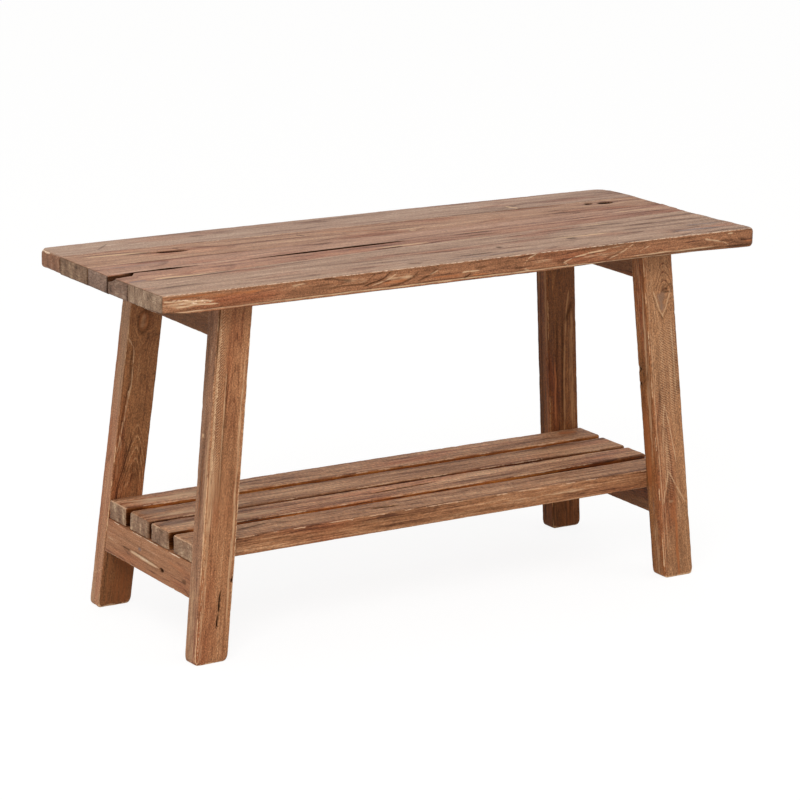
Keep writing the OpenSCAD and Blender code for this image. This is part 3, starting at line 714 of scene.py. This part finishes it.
def make_board(i):
    seed = 100 + 20 * i
    along_step, through_step = (2.4, 0.9) if i == FRONT_BOARD else (3.0, 1.6)
    steps = (along_step, ACROSS_STEP, through_step)
    wood = Wood((top_l, board_w[i], top_t), edge=2.2, steps=steps, faces=BOARD_FACES)
    _, across, through = wood.points.T
    outer = ((i == BACK_BOARD) & (across > 0)) | ((i == FRONT_BOARD) & (across < 0))
    edge_r = np.where(outer, np.where(through > 0, UPPER_ARRIS_R, LOWER_ARRIS_R), JOINT_ARRIS_R)
    wood.round_off(end_radii[i], edge_r, seed, wear=0.5, turn=(0.6 * outer, 1.0))
    if i != BACK_BOARD:
        wood.wear = wood.wear * 0.3
    x, y, z = place_board(wood.points, i).T
    wood.mark(top_marks + top_knots, x, y, z, seed)
    wood.channels["second"] = 1 - np.clip(wood.normals[:, 2], 0, 1) ** 2

    # End grain, dark beside the joints and on its arrises
    ends = np.abs(wood.normals[:, 0]) ** 2
    wood.channels["ends"] = smooth(0.2, 0.7, ends)
    beside = np.abs(wood.points[:, 1]) - board_w[i] / 2
    wood.tint("dark", 0.5 * ends * smooth(-2.5, -0.5, beside))
    wood.tint("dark", 0.45 * smooth(0.3, 0.9, wood.arris) * smooth(0.1, 0.4, ends) * (i != BACK_BOARD))

    # Pale beads on the front edge's upper arris, partly wear and partly painted highlight, held off its
    # underside; dark on its lower, downward-facing arris, which is painted shade
    front = (i == FRONT_BOARD) * smooth(0.1, 0.4, -wood.normals[:, 1])
    on_arris = smooth(0.3, 0.75, wood.arris) * smooth(0.4, 0.1, ends) * front
    lower = smooth(-0.1, -0.3, wood.normals[:, 2])
    beads = 0.58 + 0.1 * smooth(-330, -318, x)
    wood.wear = np.maximum(wood.wear * (1 - 0.7 * lower), beads * on_arris * (1 - lower))
    wood.tint("dark", 0.6 * on_arris * lower)
    wood.press(seed)

    placed = place_board(wood.points, i)
    if i in (OPEN_JOINT - 1, OPEN_JOINT):
        placed, gap, away, shade = open_up(placed, i)
        close = smooth(2.2, 0.8, away)
        # Painted shade inside the open joint and on the chip's faces
        wood.tint("dark", np.where(gap > 5, 0.8, 1.0) * smooth(0.3, 1.2, gap) * close)
        wood.tint("dark", 0.85 * shade * close)
    look = dict(zip(("first", "ends", "pith", "slope"), board_looks[i]))
    material = wood_material(BOARDS[i], seed=3 + i, second=EDGE_TONES, **TOP_GRAIN, **look)
    wood.finish(BOARDS[i], placed, material, "top_wood")


for number in range(len(BOARDS)):
    make_board(number)

# Legs: bars that lean both ways, with level ends. Marks give the height and the distance from the
# middle of the leg, along the bench on the front and back, and across it on the left and right.

LEG_GRAIN = {"worn": "d8ae86", "pale": "c99f78", "grey": "8c6e5a", "grit": 2.1}
LEG_FACES = {"front": (2, -1), "left": (1, -1)}
FOOT_R, HEAD_R, LEG_ARRIS_R = 5.8, 0.8, 1.9
leg_h = corners("leg_front_left")[1][2]


def leg_section(side, end, z):
    """Middle of the leg's section at height z, and the section's size."""
    node = f"leg_{side}_{end}"
    (foot_low, foot_high), (head_low, head_high) = level_face(node, 2, 0), level_face(node, 2, leg_h)
    foot, head = (foot_low + foot_high)[:2] / 2, (head_low + head_high)[:2] / 2
    t = np.asarray(z, float).reshape(-1, 1) / leg_h
    return foot + (head - foot) * t, (head_high - head_low)[:2]


front_left_marks = marks_of(
    "front", "pale", (130, 285, -16, -15, 6, 0.72), "hatch", (150, 440, -15, -14, 6, 1),
    "pale", (140, 450, -19.2, 1, 1.1), "dark", (150, 310, -7, -6, 3, 0.24), (140, 320, 11, 10, 3, 0.28),
    (225, 315, 4, 6, 0.16), "pale", (-20, 430, 16.4, 16.6, 2.4, 0.74),
    "dark", (170, 385, -4.4, -4.6, 1.1, 0.5), "pale", (175, 390, -6.2, -6.6, 1, 1),
    "wear", (150, 480, -17.6, 1.2, 0.74), "pale", (-120, 260, -16.4, -16.8, 3.4, 0.6),
    "wear", (-120, 260, -19.4, -19.2, 1, 0.6), (-100, 520, 21, 1, 0.72),
    "dark", (345, 450, -21, -20.5, 1.3, 0.9), "warm", (240, 400, 7, 12, 0.35),
    "figure", (379, 5.5, -105, 12.5, 36, 0.6, 2.4), "crack", (57, 88, 5, 6.2, 1.3, 2),
    (40, 60, 3.4, 4.8, 1.2, 2), "pale", (10, 120, 12, 4, 0.35), "crack", (93, 101, 21, 2.5, 2.5),
    "left", "grey", (150, 400, 5, 6, 6, 0.6), "wear", (140, 440, -11.6, -11.8, 1.3, 0.7),
    "pale", (150, 310, -9, -8, 3.6, 0.74), "dark", (145, 320, 0, 4, 0.4), (300, 430, 5, 8, 0.36),
    "pale", (-40, 420, -10.5, 1.2, 0.5), (70, 90, 8, -8, 2, 0.7), (-70, 150, 0, 30, 0.5),
    "wear", (264, 273, 3, 4, 4, 0.7), "warm", (160, 262, 2, 4, 0.6),
)
front_right_marks = marks_of(
    "front", "knot", (377, 11.4, 5, 7.5, 0.8), "dark", (374, 380, 8, 13, 2.2, 0.9),
    "figure", (408, 8, -40, 17, 11, 0.85, 2), "grey", (358, 376, 1, 5, 10, 0.8), (346, 362, 2, 6, 0.8),
    "dark", (350, 376, 2, 4, 8, 0.14),
    "pale", path(1.2, 1.2, (374, -10), (362, -6), (353, -3), (343, 2), (354, 8), (376, 17)),
    "dark", path(1.1, 0.6, (368, -11), (358, -8), (349, -5), (338, 2), (350, 10)),
    "hatch", (200, 350, 8, 10, 10, 0.75), (180, 345, -6, -2, 10, 0.75), "pale", (225, 355, 14.4, 1.5, 1),
    "dark", (240, 262, 18, 4, 0.3), "pale", (95, 229, -5.5, -6.6, 6, 0.5),
    "hatch", (95, 228, -5, -6, 7, 0.5),
    "pale", path(1.1, 1, (150, -13), (200, -9), (228, -5.4), (200, 1), (150, 8)),
    path(1.2, 1.05, (98, -17), (120, -11), (142, -6), (120, 5), (98, 17)),
    "dark", path(0.9, 0.5, (96, -12), (118, -8), (136, -5), (118, 3), (96, 12)),
    "warm", (60, 134, -1, -4, 8, 0.6), "dark", (92, 134, -2, -4, 6, 0.25), "pale", (98, 104, -3, 5, 0.7),
    "warm", (-40, 100, 1, 3, 1), "dark", (-80, 140, 0, 40, 0.17), (-20, 90, 5, 7, 4.5, 0.36),
    (215, 320, -12, -10, 5, 0.17), (225, 320, 12.4, 12.6, 1.8, 0.34), (230, 500, 0, 40, 0.06),
    (36, 43, -20, -6, 1.3, 0.4), "pale", (-120, 560, -18.4, -18.6, 1.4, 0.72),
    (-60, 300, -14.6, -14.2, 1.2, 0.6),
    "left", "warm", (100, 240, 4, 8, 8, 1), "dark", (240, 300, 3, 5, 8, 0.35),
    "pale", (-30, 100, -1, 1, 8, 0.6), (120, 420, -5, 4, 0.76), "dark", (110, 300, 6, 4, 0.26),
    (0, 320, 10.4, 2, 0.34), "crack", (268, 276, 11, 3, 4), (249, 256, 11, 2.5, 2.5),
    "pale", (-30, 440, -10.5, 1.1, 0.6), (250, 520, 3, 12, 0.45), "grey", (60, 110, -2, 2, 5, 0.5),
)
back_left_marks = marks_of(
    "front", "knot", (359, -2.3, 13.5, 7.5, 0.5), "pale", (346, 372, -2.3, 5.5, 0.6),
    "hollow", (205, 338, -18, 5, 1.8), "warm", (205, 338, -18, 5, 0.4),
    # Along the sunk strip's edge: a pale ridge with worn beads, partly painted highlight, and a dark line
    # beside it that is painted shadow
    "pale", path(1.2, 0.95, (340, -21), (327, -12.6), (305, -11), (284, -10), (262, -12.6)),
    path(1.2, 0.95, (264, -12.2), (244, -13.5), (220, -17), (196, -21)),
    "wear", path(0.9, 0.62, (328, -12.6), (300, -10.8), (262, -12.6), (220, -17), (200, -20)),
    "dark", path(0.9, 0.7, (326, -14.6), (310, -14), (284, -11.2), (262, -14.8), (226, -18)),
    "figure", (227, 5.4, -66, 19, 14, -0.9), "pale", (176, 222, 5, 12, 0.2),
    "dark", (262, 345, 9, 8, 12, 0.06), (228, 262, 6, 12, 0.16), "pale", (140, 170, -14, 10, 4, 0.5),
    # The dark band from 168 to 182 high is painted shade near the shelf
    "dark", (168, 182, 0, 4, 14, 0.3), (-60, 100, 0, 40, 0.46), "warm", (-60, 100, 0, 40, 0.7),
    "dark", (145, 232, 9, 10, 0.15), "pale", (150, 230, -17, -16, 3, 0.6), "warm", (0, 75, -22, 2, 4, 0.6),
    "dark", (-20, 75, -6, 18, 3, 0.45), (-30, 60, 8, 22, 4, 0.4),
    "left", "pale", (45, 260, -3, -2, 1.2, 0.8), "warm", (200, 330, -9, 4, 0.5),
    "wear", (40, 52, 8, -12, 3, 0.75), "dark", (180, 200, 6, -6, 3, 0.4), (205, 345, -7, -6, 1.2, 0.45),
    (150, 460, 0, 20, 0.12), (225, 320, -11.8, -11, 2.4, 0.26),
)
back_right_marks = marks_of(
    "front", "pale", (100, 330, 13, 14, 7, 0.66), (310, 440, 6, 12, 0.2),
    path(1.5, 1.1, (330, 11), (296, 6), (262, 3.4), (210, 1.6), (150, 0.4), (110, 0)),
    "dark", (120, 330, -4, 1, 1.8, 0.6), (130, 330, -10, -9, 1.6, 0.55), (285, 318, 4, 16, 3, 0.6),
    "warm", (90, 260, -14, 4, 0.6), "dark", (90, 160, -12, 5, 0.35), (-60, 110, 0, 40, 0.49),
    "pale", (235, 315, 15, 16, 4, 0.7), "warm", (-60, 110, 0, 40, 0.6), "dark", (-20, 60, -6, -5, 1.8, 0.7),
    (-20, 60, 6, 5, 1.8, 0.7), "pale", (-20, 60, 12, 2, 0.5), (-20, 60, -1, 1.5, 0.5),
    "left", "knot", (237, -10, 4, 3, 0.8), "dark", (-60, 110, 0, 40, 0.55),
    "pale", (230, 420, -8, 2.6, 0.62), (240, 420, 7, 6, 3, 0.66), "warm", (-60, 110, 0, 40, 0.6),
    "pale", (210, 440, -8, 1.8, 1.1), (300, 440, 6, 3, 0.5), "warm", (60, 240, -9, -6, 2.2, 0.7),
    "pale", (80, 240, -5, 1.2, 0.8), "dark", (60, 420, 4, 3, 1.8, 0.5), (60, 420, 10, 9, 2.4, 0.5),
)

# How far each leg is out of the CAD's place along the bench, how much wider and deeper it is, its marks,
# and its colours, rings and saw marks
legs = {
    ("front", "left"): {
        "shift": -0.4, "grow": (1.2, -0.5), "marks": front_left_marks,
        "look": {
            "first": ("6a3c20", "a06c47", "cc9a70"), "second": ("573521", "9c6f51", "cfa684"),
            "pith": (9, 60), "slope": (0.02, 0.03), "slant": -1.0, "teeth": 3.2,
        },
    },
    ("front", "right"): {
        "shift": 1.05, "grow": (1.7, 1.1), "marks": front_right_marks,
        "look": {
            "first": ("663a20", "a6754f", "cf9f76"), "second": ("4d2810", "966035", "c48f60"),
            "pith": (2, 52), "slope": (0.0, 0.04), "slant": 0.6,
        },
    },
    ("back", "left"): {
        "shift": 1.5, "grow": (2.2, -2.0), "marks": back_left_marks,
        "look": {
            "first": ("4f2a13", "96643e", "bc8d62"), "second": ("6f4a33", "b68a68", "d9b292"),
            "pith": (5, 50), "slope": (0.0, 0.03), "streak_amount": 0.2,
        },
    },
    # Back right leg: darker wood, whose tones also paint the shade under the top and behind the shelf
    ("back", "right"): {
        "shift": 0.7, "grow": (2.0, -0.3), "marks": back_right_marks,
        "look": {
            "first": ("3a1c09", "734420", "a57040"), "second": ("2f1706", "7a4823", "ac774c"),
            "pale": "a4744a", "worn": "b98a60", "pith": (30, 20), "slope": (0.02, 0.02),
        },
    },
}


def make_leg(side, end, seed):
    node, about = f"leg_{side}_{end}", legs[side, end]
    section = leg_section(side, end, 0)[1] + np.array(about["grow"])
    wood = Wood((leg_h, *section), edge=3.0, steps=(2.2, ACROSS_STEP, ACROSS_STEP), faces=LEG_FACES)
    wood.round_off((FOOT_R, HEAD_R), LEG_ARRIS_R, seed, wear=0.45, turn=(1.0, 0.2))
    along, across, through = wood.points.T
    wood.mark(about["marks"], along + leg_h / 2, across, through, seed)
    wood.channels["second"] = np.abs(wood.normals[:, 1]) ** 2
    foot = smooth(-leg_h / 2 + 5, -leg_h / 2, along)
    wood.wear = np.maximum(wood.wear, foot * smooth(0.05, 0.5, np.abs(wood.normals[:, 0])) * 0.8)
    wood.press(seed)
    along, across, through = wood.points.T
    z = np.clip(along, -leg_h / 2, leg_h / 2) + leg_h / 2
    middle = leg_section(side, end, z)[0]
    placed = np.stack([middle[:, 0] + about["shift"] + across, middle[:, 1] + through, z], 1)
    material = wood_material(node, **({"seed": 20 + seed / 30} | LEG_GRAIN | about["look"]))
    wood.finish(node, placed, material, "leg_wood")


for number, (side, end) in enumerate(legs):
    make_leg(side, end, 300 + 30 * number)

# Rails: their ends follow the legs' lean, and so do their faces. Marks give the distance from the
# middle along the rail, which is y, and up it.

RAIL_FACES = {"left": (2, -1)}
RAIL_T = 24.0
RAIL_SET_BACK = 0.6
RAIL_ARRIS_R = 1.5
SHADED = ("3a1f0f", "7f5434", "a47751")
RAILS = [("top", "left"), ("top", "right"), ("shelf", "left"), ("shelf", "right")]
# The one rail whose outer side the photograph shows in the light
LIT_RAIL = ("shelf", "left")
LIT = ("633a24", "a67350", "cc9d7b")
LIT_RING = 3.2
lit_rail_marks = marks_of(
    "left", "pale", (56, -36, -2.6, -5.8, 2, 1.3), "wear", (40, -34, -3.2, -5.4, 1, 0.75),
    "dark", (50, -30, -0.4, -3, 1, 0.55), (66, 40, -2.5, -3, 1.6, 0.7), (20, -40, -7.4, -8.4, 0.9, 0.45),
    "crack", (-30, -41, -5, -6, 2.2, 1.6), "dark", (-84, -97, -5, -6, 2.4, 0.7),
    "pale", (108, 70, -1, -4, 1, 0.8), "grey", (26, 16, 4, 2, 4, 0.8), "dark", (22, 16, 18, 6, 2, 0.4),
    (100, -40, 8, 6, 2, 0.25), "warm", (-40, -100, 10, 4, 3, 0.6), (60, -60, -14, -15, 4, 0.4),
)


def make_rail(level, end, seed):
    node = f"{level}_rail_{end}"
    lit = (level, end) == LIT_RAIL
    low, high = corners(node)
    rail_h, middle_z = high[2] - low[2], (low[2] + high[2]) / 2
    leg_w, leg_d = leg_section("front", end, 0)[1]

    def inner_y(z):
        return np.abs(leg_section("front", end, z)[0][:, 1]) - leg_d / 2

    reach = inner_y(middle_z)[0] * 2
    wood = Wood((reach, rail_h, RAIL_T), edge=2.0, steps=(2.6, ACROSS_STEP, ACROSS_STEP), faces=RAIL_FACES)
    wood.round_off((0.6, 0.6), RAIL_ARRIS_R, seed, wear=0.5)
    wood.mark(lit_rail_marks if lit else [], *wood.points.T, seed)
    wood.press(seed, swell=0.15)
    along, upward, through = wood.points.T
    z = np.clip(upward, -rail_h / 2, rail_h / 2) + middle_z
    y = along * inner_y(z) * 2 / reach
    to_outer = ENDS[end] * (leg_w / 2 - RAIL_SET_BACK - RAIL_T / 2)
    x = leg_section("front", end, z)[0][:, 0] + to_outer + through
    tones, ring = (LIT, LIT_RING) if lit else (SHADED, TONES["ring"])
    material = wood_material(node, seed=40 + seed / 20, grit=1.6, ring=ring, first=tones, second=tones)
    wood.finish(node, np.stack([x, y, z], 1), material, "rail_wood")


for number, (level, end) in enumerate(RAILS):
    make_rail(level, end, 500 + 20 * number)

# Shelf slats. Marks give x and the distance from the slat's middle, across it or up it.

# Side tones of slats whose sides face into the gaps: darker than the tops, painted shade between the slats,
# and darker still in the narrow gap
SHADED_GAP_SIDE = ("2e1203", "924c18", "c47c38")
SHADED_NARROW_GAP_SIDE = ("1a0a02", "5e2e10", "985a28")
SLAT_TONES = ("6a432a", "ac7d5a", "cea37e")
SLAT_GRAIN = {
    "ends": ("523523", "8f6d54", "c8a988"), "grey": "8c7463", "worn": "d2aa88",
    "pith": (6, -12), "ring": 4.5, "streak_amount": 0.8, "mottle_amount": 0.3, "fibre_amount": 0.75,
    "grit": 1.3, "speckle": (0.3, 0.22, 0.8), "side_streak": 0.5,
}
SLAT_END_R, SLAT_UPPER_R, SLAT_LOWER_R = (3.6, 3.0), 2.4, 1.2
# How far the right ends stand out past the CAD's
SLAT_OUT = 4.5
# The first three slats' front faces are darkened at the left end and over the right part: painted shade in
# the gaps in front of them
slat_marks = [
    marks_of(
        "front", "dark", (-390, -310, 0, 20, 0.95), (270, 420, 0, 20, 0.45),
        "top", "pale", (-350, -262, 2, -3, 4, 1), (-360, -150, -6, 12, 0.8),
        "dark", (180, 360, -4, 20, 0.1), "warm", (-345, -270, 6, 2, 2, 0.9), (300, 340, 8, 6, 9, 0.8),
        "grey", (240, 350, -12, -14, 5, 0.5),
    ),
    marks_of(
        "front", "dark", (-390, -310, 0, 20, 0.95), (110, 420, 0, 20, 0.5),
        "top", "pale", (-360, -180, -8, 8, 0.78), "grey", (-352, -300, 6, 4, 16, 0.65),
        (240, 350, 12, 10, 9, 0.5), "dark", (-200, 250, 17, 15, 2, 0.2), (160, 400, 0, 30, 0.08),
    ),
    marks_of(
        "front", "dark", (-390, -310, 0, 20, 0.95), (110, 420, 0, 20, 0.5),
        "top", "grey", (-352, -300, 6, 4, 14, 0.7), "pale", (-360, -150, -4, 12, 0.75),
        "crack", (-70, 55, 0, 7, 1.6, 1.5), "dark", (-60, 50, 0, 7, 1.5, 0.95),
        (-250, -170, -4, 0, 2, 0.35), "pale", (60, 250, -17, -13, 2.4, 0.6),
        "grey", (250, 350, 6, 4, 12, 0.5), "dark", (322, 345, -6, -10, 2, 0.5),
    ),
    marks_of(
        "top", "dark", (-282, -222, 2, 12, 2.2, 0.75), (-228, -204, 12, 6, 3.2, 0.6),
        "crack", (-98, -48, 2, -2, 1.8, 1.5), "dark", (-94, -50, 2, -2, 1.5, 0.95),
        (-120, -116, -4, -16, 2, 0.5), "warm", (-300, 300, -14, 5, 0.4),
        "front", "dark", (-200, 0, 6, 4, 2, 0.35), "pale", (40, 250, -2, 2, 3, 0.5),
        "dark", (-150, 150, -6, 2.5, 0.3),
    ),
]
# Tones of the top and of the sides, how much thicker a slat is than the CAD's, and how far its front and
# back edges stray from straight: at the left end, the middle and the right end
slat_looks = [
    {
        "first": ("6e472d", "b48461", "d3a985"), "second": SHADED_GAP_SIDE,
        "lift": 1.3, "front": (1, -2.5, -1), "back": (0, 3, 1),
    },
    {"second": SHADED_NARROW_GAP_SIDE, "front": (-1, 1, 0), "back": (1, 0.5, 2)},
    {
        "first": ("744c33", "bb8a66", "d8ae88"), "second": SHADED_GAP_SIDE,
        "front": (1, -1, 5), "back": (0, 0.5, -1),
    },
    {"second": ("5a321b", "9c6945", "c0906a"), "front": (0, 0, 0), "back": (1, 0.5, 1)},
]


def make_slat(i):
    node, about = SLATS[i], slat_looks[i]
    low, high = corners(node)
    high[2] += about.get("lift", 0)
    size, middle = high - low, (low + high) / 2
    seed = 700 + 20 * i
    wood = Wood(size, edge=2.6, steps=(3.0, ACROSS_STEP, ACROSS_STEP), faces=BOARD_FACES)
    edge_r = np.where(wood.points[:, 2] > 0, SLAT_UPPER_R, SLAT_LOWER_R)
    wood.round_off(SLAT_END_R, edge_r, seed, wear=0.5, turn=(1.0, 0.6))
    wood.mark(slat_marks[i], *wood.points.T, seed)
    wood.channels["second"] = np.abs(wood.normals[:, 1]) ** 3
    wood.channels["ends"] = smooth(0.2, 0.7, np.abs(wood.normals[:, 0]) ** 2)
    wood.press(seed)
    wood.points[:, 2] = np.maximum(wood.points[:, 2], -size[2] / 2)
    t, share = (wood.points[:, k] / size[k] + 0.5 for k in (0, 1))

    def stray(ends):
        return ends[0] * (1 - t) * (1 - 2 * t) + ends[1] * 4 * t * (1 - t) + ends[2] * t * (2 * t - 1)

    rough = 0.5 * noise_along(wood.points[:, 0], 60, seed + 15, np.sign(wood.points[:, 1]))
    off = stray(about["front"]) * (1 - share) + stray(about["back"]) * share + rough
    placed = wood.points + middle + np.stack([SLAT_OUT * t**3, off, 0 * off], 1)
    tones = {"first": about.get("first", SLAT_TONES), "second": about["second"]}
    wood.finish(node, placed, wood_material(node, seed=60 + i, **tones, **SLAT_GRAIN), "slat_wood")


for number in range(len(SLATS)):
    make_slat(number)

# Fixings keep their CAD shapes


def steel_material():
    n = Nodes(bpy.data.materials.new("zinc_plated_steel"))
    place = n.add("TexCoord", {}, 3)
    grime = n.noise(place, (400, 400, 400), 3.0)
    colour = n.mix(n.step(grime, 0.45, 0.75), srgb("b4b5b2"), srgb("8c877c"))
    roughness = n.times(grime, 0.3, 0.25)
    return n.finish(colour, roughness, metallic=1.0)


def dowel_material():
    n = Nodes(bpy.data.materials.new("dowel_beech"))
    place = n.add("TexCoord", {}, 3)
    fibre = n.noise(place, (900, 900, 60), 3.0)
    colour = n.mix(fibre, srgb("b58f66"), srgb("d3b288"))
    return n.finish(colour, 0.6, fibre, bump_mm=0.1)


def dress(node, material):
    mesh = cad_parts[node].data
    mesh.materials.clear()
    mesh.materials.append(material)


steel = steel_material()
dress("top_screws", steel)
dress("slat_screws", steel)
dress("leg_dowels", dowel_material())

# Camera, solved from the photograph's edges: place in metres, turn in radians, and focal length in
# pixels of the 800 pixel frame

CAMERA_AT = Vector((-2.0174, -3.1163, 1.2110))
YAW, PITCH, ROLL = 0.57448, 0.25466, 0.01995
FOCAL_PX, FRAME_PX = 3096.6, 800


def make_camera():
    ahead = Vector((math.sin(YAW) * math.cos(PITCH), math.cos(YAW) * math.cos(PITCH), -math.sin(PITCH)))
    right = Vector((math.cos(YAW), -math.sin(YAW), 0))
    up = right.cross(ahead)
    right, up = (
        right * math.cos(ROLL) + up * math.sin(ROLL),
        up * math.cos(ROLL) - right * math.sin(ROLL),
    )
    data = bpy.data.cameras.new("camera")
    data.sensor_width = 36
    data.lens = FOCAL_PX * data.sensor_width / FRAME_PX
    data.clip_end = 50
    camera = add_object("camera", data)
    turn = Matrix((right, up, -ahead)).transposed()
    camera.matrix_world = Matrix.Translation(CAMERA_AT) @ turn.to_4x4()
    bpy.context.scene.camera = camera


# Floor and light

FLOOR_HALF = 12
FLOOR_GLOW = 1.1
WORLD_LIGHT = 0.66
LAMP_AIM = Vector((0, 0, 0.25))


def make_floor():
    mesh = bpy.data.meshes.new("floor")
    around = [(-1, -1), (1, -1), (1, 1), (-1, 1)]
    mesh.from_pydata([(x * FLOOR_HALF, y * FLOOR_HALF, 0) for x, y in around], [], [(0, 1, 2, 3)])
    floor = add_object("floor", mesh)
    n = Nodes(bpy.data.materials.new("floor"))
    pale = n.add("BsdfDiffuse", {"Color": srgb("e6e4e1")})
    bright = n.add("Emission", {"Color": WHITE, "Strength": FLOOR_GLOW})
    shown = n.add("MixShader", {0: 0.8, 1: pale, 2: bright})
    shader = n.add("MixShader", {0: n.seen(), 1: pale, 2: shown})
    n.add("OutputMaterial", {"Surface": shader})
    mesh.materials.append(n.owner)


def make_world():
    n = Nodes(bpy.data.worlds.new("studio"))
    soft = n.add("Background", {"Color": WHITE, "Strength": WORLD_LIGHT})
    white = n.add("Background", {"Color": WHITE})
    shader = n.add("MixShader", {0: n.seen(), 1: soft, 2: white})
    n.add("OutputWorld", {"Surface": shader})
    bpy.context.scene.world = n.owner


def make_lamp(name, at, size, power):
    data = bpy.data.lights.new(name, "AREA")
    data.shape = "SQUARE"
    data.size = size
    data.energy = power
    lamp = add_object(name, data)
    lamp.location = at
    lamp.rotation_euler = (LAMP_AIM - Vector(at)).to_track_quat("-Z", "Y").to_euler()


make_camera()
make_floor()
make_world()
make_lamp("key", (-2.2, -2.6, 3.0), size=2.0, power=80)
make_lamp("fill", (2.8, -2.4, 1.6), size=2.5, power=20)
bpy.context.scene.view_settings.view_transform = "Standard"
